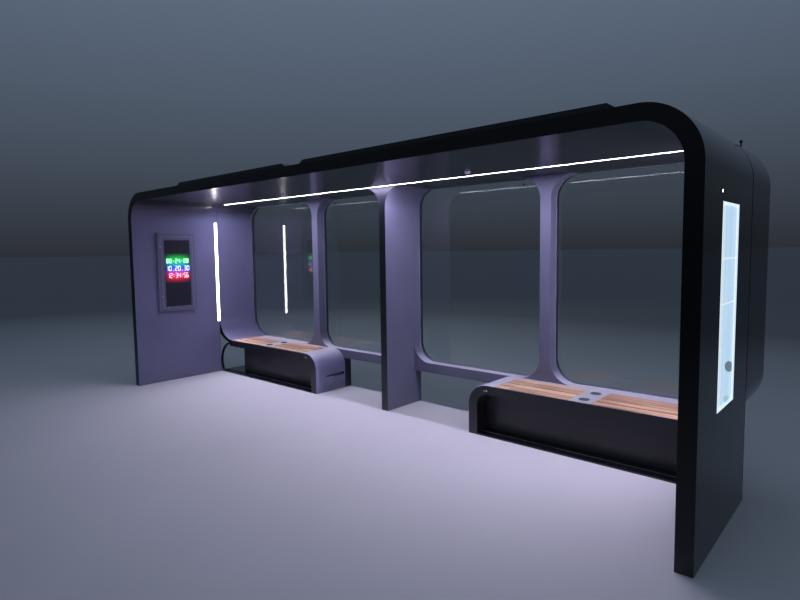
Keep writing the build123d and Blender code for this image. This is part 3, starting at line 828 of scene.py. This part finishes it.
def board(x_low, x_high, y_middle, z_middle, width, height):
    """One board: its outline at each station, which is smaller by the ease at both ends."""
    outline = rounded_outline(width, height, EASE, EASE_STEPS)
    turn = np.linspace(0.0, np.pi / 2, EASE_STEPS + 1)
    inset = EASE * (1 - np.sin(turn))
    away = EASE * (1 - np.cos(turn))
    stations = np.concatenate((x_low + away, x_high - away[::-1]))
    shrink = np.concatenate((inset, inset[::-1]))
    across = outline[None, :, 0] * (1 - 2 * shrink[:, None] / width) + y_middle
    up = outline[None, :, 1] * (1 - 2 * shrink[:, None] / height) + z_middle
    along = np.broadcast_to(stations[:, None], across.shape)
    points = np.stack((along, across, up), -1).reshape(-1, 3)
    count = len(outline)
    sides = grid_faces(len(stations), count, wrap_columns=True).tolist()
    last = (len(stations) - 1) * count
    return points, sides + [list(range(count))[::-1], list(range(last, last + count))]


def seat_boards(side):
    """All boards of one bench, in two groups with the charging plate between them."""
    low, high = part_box(f"{side}_bench_slats")
    plate_low, plate_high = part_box(f"{side}_charge_plate")
    pitch = (high.y - low.y + BOARD_GAP) / BOARD_COUNT
    width = pitch - BOARD_GAP
    z_middle, height = (low.z + high.z) / 2, high.z - low.z
    groups = ((low.x, plate_low.x - JOINT_GAP), (plate_high.x + JOINT_GAP, high.x))
    parts = [
        board(*ends, low.y + width / 2 + number * pitch, z_middle, width, height)
        for ends in groups
        for number in range(BOARD_COUNT)
    ]
    points, faces = join_parts(parts)
    boards = make_piece(f"{side}_boards", points, faces, timber_finish, "seat_timber")
    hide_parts(f"{side}_bench_slats")


seat_boards("left")
seat_boards("right")

# %% [markdown]
# The strips on the walls are broader than the one overhead, because a lens snaps on over each
# cover. A flat box would show as two hard edges, so its section is half an ellipse, which is
# carried up the whole length of the strip.

# %% Lenses over the wall strips
LENS_RISE = 0.004
LENS_STEPS = 13


def strip_lens(node, wall_x):
    """Half an ellipse about the strip's middle, laid on the wall and carried along Z."""
    low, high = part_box(node)
    side = np.sign(wall_x)
    turn = np.linspace(0.0, np.pi, LENS_STEPS)
    y = (low.y + high.y) / 2 + side * LENS_HALF_WIDTH * np.cos(turn)
    x = wall_x - side * LENS_RISE * np.sin(turn)
    section = np.broadcast_to(np.stack((x, y), -1), (2, LENS_STEPS, 2))
    z = np.broadcast_to(np.array((low.z, high.z))[:, None, None], (2, LENS_STEPS, 1))
    points = np.concatenate((section, z), -1)
    faces = grid_faces(2, LENS_STEPS, wrap_columns=True).tolist()
    ends = [list(range(LENS_STEPS))[::-1], list(range(LENS_STEPS, 2 * LENS_STEPS))]
    return points.reshape(-1, 3), faces + ends


for side, wall_x in (("left", -INNER_X), ("right", INNER_X)):
    make_piece(f"{side}_wall_lens", *strip_lens(f"{side}_wall_light", wall_x), strip_finish, "light")

# %% [markdown]
# A dry-glazed window is held by a rubber bead on each face of the pane, given a pale grey tone as
# a painted highlight along the edge of the glass. A bevelled curve could make it, but arrays give
# a closed mesh at once. The bead follows the opening: four quarter circles, each with its own
# radius, joined by straight runs. At every point of that path its small rounded section is laid
# in the plane of the path's inward direction and the Y axis.

# %% Window beads
SILL_FLARE = 0.215
MULLION_FLARE = 0.210
FIN_FLARE = 0.202
SEAT_RADIUS = 0.300
CORNER_RADIUS = 0.239
BEAD_WIDTH = 0.003
BEAD_DEPTH = 0.005
BEAD_ROUND = 0.0012
BEAD_STEPS = 2
ARC_STEPS = 14


def opening_path(low, high, radii):
    """Points and inward directions round an opening, from its lower left corner on, turning left.

    radii are those of the lower left, lower right, upper right and upper left corners.
    """
    middles, inward = [], []
    (x_low, z_low), (x_high, z_high) = low, high
    lower = ((x_low, z_low, 1, 1), (x_high, z_low, -1, 1))
    corners = lower + ((x_high, z_high, -1, -1), (x_low, z_high, 1, -1))
    for number, ((x, z, to_x, to_z), radius) in enumerate(zip(corners, radii)):
        angle = np.pi + number * np.pi / 2 + np.linspace(0.0, np.pi / 2, ARC_STEPS + 1)
        ray = np.stack((np.cos(angle), np.sin(angle)), -1)
        middles.append(np.array((x + to_x * radius, z + to_z * radius)) + radius * ray)
        inward.append(-ray)
    return np.concatenate(middles), np.concatenate(inward)


def bead(low, high, radii, y_glass, backward):
    """A bead along an opening; backward is 1 behind the glass and -1 in front of it."""
    path, inward = opening_path(low, high, radii)
    outline = rounded_outline(BEAD_WIDTH, BEAD_DEPTH, BEAD_ROUND, BEAD_STEPS)
    reach = outline[:, 0] + BEAD_WIDTH / 2
    depth = y_glass + backward * (outline[:, 1] + BEAD_DEPTH / 2)
    flat = path[:, None, :] + inward[:, None, :] * reach[None, :, None]
    y = np.broadcast_to(depth[None, :], flat.shape[:2])
    points = np.stack((flat[..., 0], y, flat[..., 1]), -1).reshape(-1, 3)
    faces = grid_faces(len(path), len(outline), True, True)
    return points, (faces if backward < 0 else faces[:, ::-1]).tolist()


def window_beads(side, pane, radii):
    """Both beads of one pane; radii are as on the right side, and the left one is mirrored."""
    low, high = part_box(f"{side}_{pane}_glass")
    if side == "left":
        radii = (radii[1], radii[0], radii[3], radii[2])
    corners = (low.x, low.z), (high.x, high.z)
    return [bead(*corners, radii, low.y, -1), bead(*corners, radii, high.y, 1)]


PANE_RADII = {
    "inner": (SILL_FLARE, SILL_FLARE, MULLION_FLARE, FIN_FLARE),
    "outer": (SILL_FLARE, SEAT_RADIUS, CORNER_RADIUS, MULLION_FLARE),
}
for side in ("left", "right"):
    for pane, radii in PANE_RADII.items():
        points, faces = join_parts(window_beads(side, pane, radii))
        # The beads' pale tone is a painted highlight along the glass edge.
        make_piece(f"{side}_{pane}_beads", points, faces, bead_highlight, "dark_trim")

# %% [markdown]
# Round fixings are turned shapes: a profile of radius and height, carried round an axis. Ready
# cylinders have sharp rims, so one helper makes a button head, a flat disc or a ring from its
# profile, places it and turns its axis along X, Y or Z. A ring's profile closes on itself, so it
# needs no caps.

# %% Turned fixings
TURN_STEPS = 24
BUTTON_STEPS = 6
DISC_EASE = 0.3
AXES = {
    "x": ((0, 1, 0), (0, 0, 1), (1, 0, 0)),
    "y": ((0, 0, 1), (1, 0, 0), (0, 1, 0)),
    "z": ((1, 0, 0), (0, 1, 0), (0, 0, 1)),
}


def turned(profile, centre, axis, sense=1, closed=False):
    """Carry (radius, height) points round an axis, and cap both ends of an open profile."""
    across, over, along = (np.array(v, float) for v in AXES[axis])
    along, over = along * sense, over * sense
    radius, height = np.array(profile, float).T
    angle = np.linspace(0.0, 2 * np.pi, TURN_STEPS, endpoint=False)
    ring = np.cos(angle)[:, None] * across + np.sin(angle)[:, None] * over
    points = centre + radius[:, None, None] * ring[None] + height[:, None, None] * along
    faces = grid_faces(len(radius), TURN_STEPS, closed, True).tolist()
    last = (len(radius) - 1) * TURN_STEPS
    caps = [list(range(TURN_STEPS))[::-1], list(range(last, last + TURN_STEPS))]
    return points.reshape(-1, 3), faces + ([] if closed else caps)


def pair(profile, place, axis, closed=False):
    """The same turned shape on the left and the right side, facing against the axis."""
    x, y, z = place
    return [turned(profile, (side * x, y, z), axis, -1, closed) for side in (-1, 1)]


def button(radius, height):
    """Profile of a button head: a quarter ellipse from the rim to nearly the top."""
    turn = np.linspace(0.0, 0.9 * np.pi / 2, BUTTON_STEPS)
    return np.stack((radius * np.cos(turn), height * np.sin(turn)), -1)


def disc(radius, height):
    """Profile of a flat disc with an eased rim: up, in over the ease, and level to the cap."""
    ease = DISC_EASE * height
    rim = (radius, 0.0), (radius, height - ease), (radius - ease, height)
    return np.array((*rim, (radius / 2, height)))


print("a button head has", len(button(1, 1)), "rings of", TURN_STEPS, "points")

# %% [markdown]
# Each bench front has two bright screws at its inner end, the display cabinet has two hinge pins
# and a lock on its door, and the pane beyond each post has a small black disc high up, as point
# fixings of glass have. The domes under the ceiling sit in thin bright rings. All of them stand
# only a few millimetres proud, so they are set on the faces of the solid pieces.

# %% Screws, hinge pins and lock, glass discs and dome rings
FIXING_HEIGHT = 0.004
DOOR_FIXING_RADIUS = 0.009
DISC_RADIUS = 0.011
LEG_SCREWS = ((1.316, 0.431, 0.0085), (1.292, 0.428, 0.0060))
leg_screws = []
for x, z, radius in LEG_SCREWS:
    leg_screws += pair(button(radius, FIXING_HEIGHT), (x, SEAM_Y, z), "y")
make_piece("leg_screws", *join_parts(leg_screws), steel, "pale_metal")

door_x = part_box("display_door")[1].x
DOOR_FIXINGS = ((-0.582, 1.821), (-0.576, 1.155), (-0.494, 1.000))
pin = button(DOOR_FIXING_RADIUS, FIXING_HEIGHT)
door_fixings = [turned(pin, (door_x, y, z), "x") for y, z in DOOR_FIXINGS]
make_piece("door_fixings", *join_parts(door_fixings), steel, "pale_metal")

DISC_X, DISC_Z = 1.364, 2.355
glass_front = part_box("right_inner_glass")[0].y
glass_discs = pair(disc(DISC_RADIUS, FIXING_HEIGHT), (DISC_X, glass_front, DISC_Z), "y")
make_piece("glass_discs", *join_parts(glass_discs), rubber, "dark_trim")

domes_low, domes_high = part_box("ceiling_sensors")
DOME_RADIUS = (domes_high.y - domes_low.y) / 2
RING_WIDTH, RING_DROP, RING_EASE = 0.006, 0.005, 0.001
RING_PROFILE = (
    (DOME_RADIUS, 0.0),
    (DOME_RADIUS + RING_WIDTH, 0.0),
    (DOME_RADIUS + RING_WIDTH - RING_EASE, RING_DROP - RING_EASE),
    (DOME_RADIUS, RING_DROP),
)
dome_place = (domes_high.x - DOME_RADIUS, (domes_low.y + domes_high.y) / 2, CEILING_Z)
rings = pair(RING_PROFILE, dome_place, "z", closed=True)
make_piece("dome_rings", *join_parts(rings), steel, "pale_metal")

# %% [markdown]
# The display shows rows of lamps, which hold plain numbers here. A text object would bring the
# round forms of a printed font, so each figure is made of up to seven bars, as on such displays,
# and each bar is a flat six-sided prism that stands a little proud of the glass. The bars of a
# figure are numbered from the top, clockwise, with the middle one last.

# %% Figures on the display
SEGMENTS = {
    "0": "012345", "1": "12", "2": "01346", "3": "01236", "4": "1256",
    "5": "02356", "6": "023456", "7": "012", "8": "0123456", "9": "012356",
}
BAR_PLACES = {
    "0": (0.5, 2.0, 0), "1": (1.0, 1.5, 1), "2": (1.0, 0.5, 1), "3": (0.5, 0.0, 0),
    "4": (0.0, 0.5, 1), "5": (0.0, 1.5, 1), "6": (0.5, 1.0, 0),
}
BAR_RELIEF = 0.0012
BAR_WEIGHT = 0.0075
BAR_GAP = 0.001
FIGURE_WIDTH = 0.46
DOT_LENGTH = 2.2 * BAR_WEIGHT
DOTS = {":": (0.55, 1.45), ".": (0.08,), "-": (1.0,)}


def bar(y, z, length, upright):
    """A six-sided bar about (y, z), lying along Y or standing along Z, raised from the glass."""
    half, point = length / 2 - BAR_GAP, BAR_WEIGHT / 2
    flat = half - point
    lower = ((-half, 0), (-flat, -point), (flat, -point))
    outline = np.array(lower + ((half, 0), (flat, point), (-flat, point)))
    outline = outline[:, ::-1] * (-1, 1) if upright else outline
    base = np.column_stack((np.full(6, SCREEN_HIGH.x), outline[:, 0] + y, outline[:, 1] + z))
    points = np.concatenate((base, base + (BAR_RELIEF, 0, 0)))
    sides = [(i, (i + 1) % 6, (i + 1) % 6 + 6, i + 6) for i in range(6)]
    return points, sides + [tuple(range(6))[::-1], tuple(range(6, 12))]


def figures(text, y_middle, z_middle, height, pitch):
    """A row of figures; a point or a dash between them is one short bar, and a colon is two."""
    size = height / 2
    width = FIGURE_WIDTH * height
    parts = []
    for place, sign in enumerate(text):
        y = y_middle + (place - (len(text) - 1) / 2) * pitch - width / 2
        z = z_middle - size
        for key in SEGMENTS.get(sign, ""):
            across, up, upright = BAR_PLACES[key]
            parts.append(bar(y + across * width, z + up * size, size if upright else width, upright))
        dots = DOTS.get(sign, ())
        parts += [bar(y + width / 2, z + up * size, DOT_LENGTH, 0) for up in dots]
    return parts


ROWS = {
    "green": ("88-24-88", 0.054, 0.0400),
    "blue": ("10.20.30", 0.060, 0.0425),
    "red": ("12:34:56", 0.060, 0.0385),
}
LAMP_COLOURS = {
    "green": rgba(0.45, 1.0, 0.62),
    "blue": rgba(0.62, 0.80, 1.0),
    "red": rgba(1.0, 0.55, 0.60),
}
LAMP_POWER = 3.0


def glowing(name, tone, gloss, bright, tint, scale, most):
    """A lamp's bright glow, with a fine sparkle that holds up to this much of a tint."""
    material, tree, shader = new_finish(name)
    sparkle = varied(tree, grain(tree, scale, 1.0), 0.0, most)
    light_up(tree, shader, tone, gloss, blend(tree, sparkle, bright, tint), LAMP_POWER)
    return material


for row, (text, height, pitch) in ROWS.items():
    parts = figures(text, SCREEN_Y, ROW_HEIGHTS[row], height, pitch)
    tone = ROW_COLOURS[row]
    finish = glowing(f"{row}_lamps", tone, 0.4, LAMP_COLOURS[row], tone, 260.0, 0.5)
    make_piece(f"{row}_figures", *join_parts(parts), finish, "screen")

# %% [markdown]
# On the outside of the right wall, a small round lamp sits above the light box, nearly flush.
# Its white lens is turned like the screws and glows like the figures.

# %% Lamp on the right wall
LAMP_PLACE = (OUTER_X, -0.542, 2.040)
LAMP_RADIUS = 0.009
LAMP_RISE = 0.001
LENS_WHITE = rgba(1.0, 1.0, 0.97)
LENS_BLUE = rgba(0.8, 0.85, 0.9)
LENS_GREY = rgba(0.9, 0.9, 0.9)
lamp = turned(button(LAMP_RADIUS, LAMP_RISE), LAMP_PLACE, "x")
lens_finish = glowing("lamp_lens", LENS_GREY, 0.2, LENS_WHITE, LENS_BLUE, 300.0, 0.3)
make_piece("wall_lamp", *lamp, lens_finish, "light")

# %% [markdown]
# The stage is a plain pale floor, darkened with the distance from the shelter as painted shade,
# under a dim soft sky that is darker towards the horizon.

# %% Floor and sky
FLOOR_HALF = 400.0
FLOOR_LINES = 13
# Painted shade: the floor darkens between these distances down to the far share of its tone.
FLOOR_SHADE_RANGE = (2.6, 9.0)
FLOOR_SQUEEZE = (0.62, 1.0, 0.0)
FLOOR_FAR_SHADE = 0.3
FLOOR_GREY = rgba(0.50, 0.50, 0.51)
FLOOR_PALE = rgba(0.56, 0.56, 0.57)
SKY_LOW = rgba(0.026, 0.030, 0.038)
SKY_HIGH = rgba(0.130, 0.175, 0.250)


def floor_finish():
    """Pale matt floor with the faintest clouds in its tone, and painted shade that darkens it away
    from the shelter.
    """
    material, tree, shader = new_finish("pale_floor")
    where, _ = places(tree)
    clouds = grain(tree, 0.8, 5.0)
    tone = blend(tree, clouds, FLOOR_GREY, FLOOR_PALE)
    squeezed = add(tree, "VectorMath", {0: where, 1: FLOOR_SQUEEZE}, operation="MULTIPLY").outputs[0]
    away = add(tree, "VectorMath", {0: squeezed}, operation="LENGTH").outputs["Value"]
    # Painted shade that grows with the distance from the shelter.
    tone = scaled(tree, tone, spread(tree, away, *FLOOR_SHADE_RANGE, 1.0, FLOOR_FAR_SHADE))
    wire(tree, shader, base_color=tone, roughness=0.8)
    return material


edge = np.linspace(-FLOOR_HALF, FLOOR_HALF, FLOOR_LINES)
floor_x, floor_y = np.meshgrid(edge, edge)
floor_points = np.stack((floor_x, floor_y, np.zeros_like(floor_x)), -1).reshape(-1, 3)
floor_mesh = bpy.data.meshes.new("floor")
floor_mesh.from_pydata(floor_points.tolist(), [], grid_faces(len(edge), len(edge)).tolist())
floor_mesh.materials.append(floor_finish())
floor = into_scene("floor", floor_mesh)

world = bpy.data.worlds.new("sky")
world.use_nodes = True
sky_tree = world.node_tree
up = add(sky_tree, "SeparateXYZ", {0: add(sky_tree, "TexCoord").outputs["Generated"]}).outputs[2]
sky_tone = blend(sky_tree, spread(sky_tree, up, 0.0, 0.5), SKY_LOW, SKY_HIGH)
sky_tree.links.new(sky_tone, sky_tree.nodes["Background"].inputs["Color"])
bpy.context.scene.world = world
print("floor of", 2 * FLOOR_HALF, "m and a dim sky")

# %% [markdown]
# The shelter is lit by its own strips. A glowing mesh gives noisy light, so a long narrow area
# light lies in front of each strip and does the lighting, tinted violet as the real lamps are.
# The camera, the glass and the mirroring coats don't show these lights, because the covers that
# glow are there already. Those of the walls stand off farther than the display cabinet, which
# would otherwise throw a shadow along the wall. A broad weak light from the front and one from
# the back let every side be seen.

# %% Lights
LAMP_TINT = (0.78, 0.72, 1.0)
LAMP_WIDTH = 0.02
CEILING_WATTS, CEILING_DROP = 95.0, 0.006
WALL_WATTS, WALL_DROP = 22.0, 0.050
STRIP_LAMPS = (
    ("ceiling_light", (0, 0, -1), CEILING_WATTS, CEILING_DROP),
    ("left_wall_light", (1, 0, 0), WALL_WATTS, WALL_DROP),
    ("right_wall_light", (-1, 0, 0), WALL_WATTS, WALL_DROP),
)
SOFT_SIZE = 7.0
SOFT_LIGHTS = (
    ("front_light", (6.0, -9.0, 8.0), (0.0, 0.0, 1.0), 30.0),
    ("back_light", (-6.0, 9.0, 7.0), (0.0, 0.5, 1.5), 50.0),
)


def soft_light(name, place, target, power):
    """A square light that looks from its place to its target."""
    data = bpy.data.lights.new(name, "AREA")
    data.size, data.energy = SOFT_SIZE, power
    light = into_scene(name, data)
    light.location = place
    light.rotation_euler = (Vector(target) - Vector(place)).to_track_quat("-Z", "Y").to_euler()


def strip_lamp(node, outward, power, drop):
    """A long light in front of a strip: as long as its cover, shining outward from it."""
    low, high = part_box(node)
    middle, size = (low + high) / 2, high - low
    outward = Vector(outward)
    along = Vector((1, 0, 0)) if size.x > size.z else Vector((0, 0, 1))
    data = bpy.data.lights.new(f"{node}_lamp", "AREA")
    data.shape, data.size, data.size_y = "RECTANGLE", max(size.x, size.z), LAMP_WIDTH
    data.energy, data.color = power, LAMP_TINT
    lamp = into_scene(f"{node}_lamp", data)
    turn = Matrix((along, (-outward).cross(along), -outward)).transposed().to_4x4()
    reach = abs(outward.dot(size)) / 2 + drop
    lamp.matrix_world = Matrix.Translation(middle + reach * outward) @ turn
    lamp.visible_camera = lamp.visible_glossy = lamp.visible_transmission = False


for settings in STRIP_LAMPS:
    strip_lamp(*settings)
for settings in SOFT_LIGHTS:
    soft_light(*settings)
bpy.context.scene.view_settings.view_transform = "Standard"
print(len(STRIP_LAMPS), "strip lamps and", len(SOFT_LIGHTS), "soft lights")
